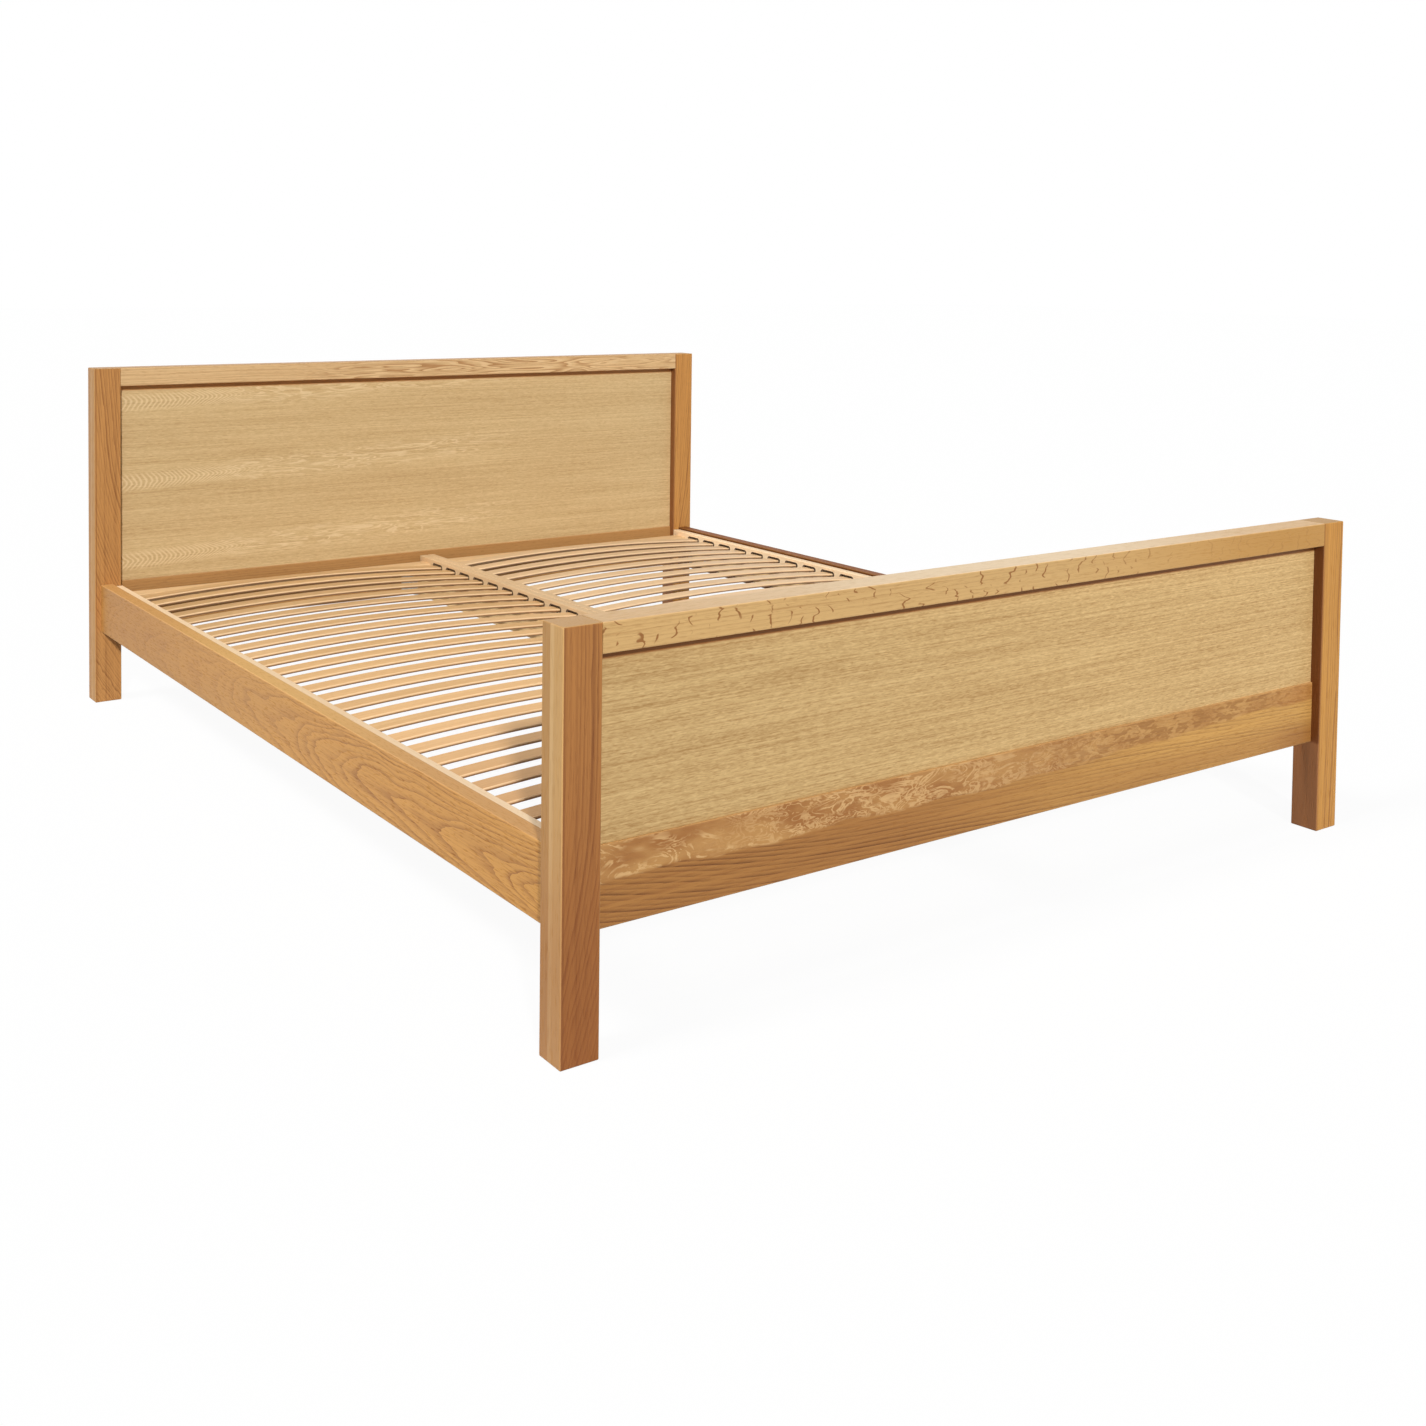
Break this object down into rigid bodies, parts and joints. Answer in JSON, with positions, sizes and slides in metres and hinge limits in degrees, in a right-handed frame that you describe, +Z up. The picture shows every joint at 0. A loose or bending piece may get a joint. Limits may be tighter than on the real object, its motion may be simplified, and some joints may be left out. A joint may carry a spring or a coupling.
{
  "type": "bed frame",
  "caption": "Oak double bed frame with a panelled headboard and lower footboard, side rails and two lift-out bases of bowed sprung slats.",
  "frame": {"origin": "on the floor, under the middle of the bed", "axes": "+X across the bed to the right seen from the foot, +Y from the footboard to the headboard, +Z up"},
  "size_m": [1.59, 2.11, 0.742],
  "materials": {
    "post_oak": "satin lacquered oak, vertical grain",
    "rail_oak": "satin lacquered oak, lengthwise grain",
    "panel_veneer": "satin lacquered oak veneer",
    "stringer_beech": "plain planed beech",
    "slat_beech": "steam-bent laminated beech, lightly lacquered",
    "batten_pine": "planed softwood",
    "zinc_steel": "bright zinc plating",
    "pad_plastic": "moulded, matt"
  },
  "bodies": {
    "frame": {"head_post_left": "post_oak", "head_post_right": "post_oak", "foot_post_left": "post_oak", "foot_post_right": "post_oak", "centre_leg": "post_oak", "head_top_rail": "rail_oak", "foot_top_rail": "rail_oak", "head_lower_rail": "rail_oak", "foot_lower_rail": "rail_oak", "side_rail_left": "rail_oak", "side_rail_right": "rail_oak", "head_panel": "panel_veneer", "foot_panel": "panel_veneer", "ledger_left": "batten_pine", "ledger_right": "batten_pine", "centre_beam": "batten_pine", "rail_dowels": "stringer_beech", "ledger_screws": "zinc_steel", "bed_bolts": "zinc_steel", "threaded_inserts": "zinc_steel", "half_moon_washers": "zinc_steel", "bed_bolt_nuts": "zinc_steel", "beam_hanger_head": "zinc_steel", "beam_hanger_foot": "zinc_steel", "hanger_screws": "zinc_steel", "leg_plate": "zinc_steel", "leg_plate_screws": "zinc_steel", "leg_stud": "zinc_steel", "leg_insert": "zinc_steel"},
    "left_base": {"left_base_outer_stringer": "stringer_beech", "left_base_inner_stringer": "stringer_beech", "left_base_head_bar": "stringer_beech", "left_base_foot_bar": "stringer_beech", "left_base_screws": "zinc_steel", "left_slats_1": "slat_beech", "left_slats_2": "slat_beech", "left_slats_3": "slat_beech", "left_slats_4": "slat_beech", "left_slats_5": "slat_beech", "left_slats_6": "slat_beech", "left_slats_7": "slat_beech"},
    "right_base": {"right_base_outer_stringer": "stringer_beech", "right_base_inner_stringer": "stringer_beech", "right_base_head_bar": "stringer_beech", "right_base_foot_bar": "stringer_beech", "right_base_screws": "zinc_steel", "right_slats_1": "slat_beech", "right_slats_2": "slat_beech", "right_slats_3": "slat_beech", "right_slats_4": "slat_beech", "right_slats_5": "slat_beech", "right_slats_6": "slat_beech", "right_slats_7": "slat_beech"},
    "levelling_foot": {"foot_pad": "pad_plastic", "foot_stem": "zinc_steel"}
  },
  "joints": [
    {"name": "left_base_lift", "type": "slide", "parent": "frame", "child": "left_base", "axis": [0, 0, 1], "range_m": [0, 0.35]},
    {"name": "right_base_lift", "type": "slide", "parent": "frame", "child": "right_base", "axis": [0, 0, 1], "range_m": [0, 0.35]},
    {"name": "levelling_screw", "type": "slide", "parent": "frame", "child": "levelling_foot", "axis": [0, 0, 1], "range_m": [-0.015, 0.008]}
  ]
}
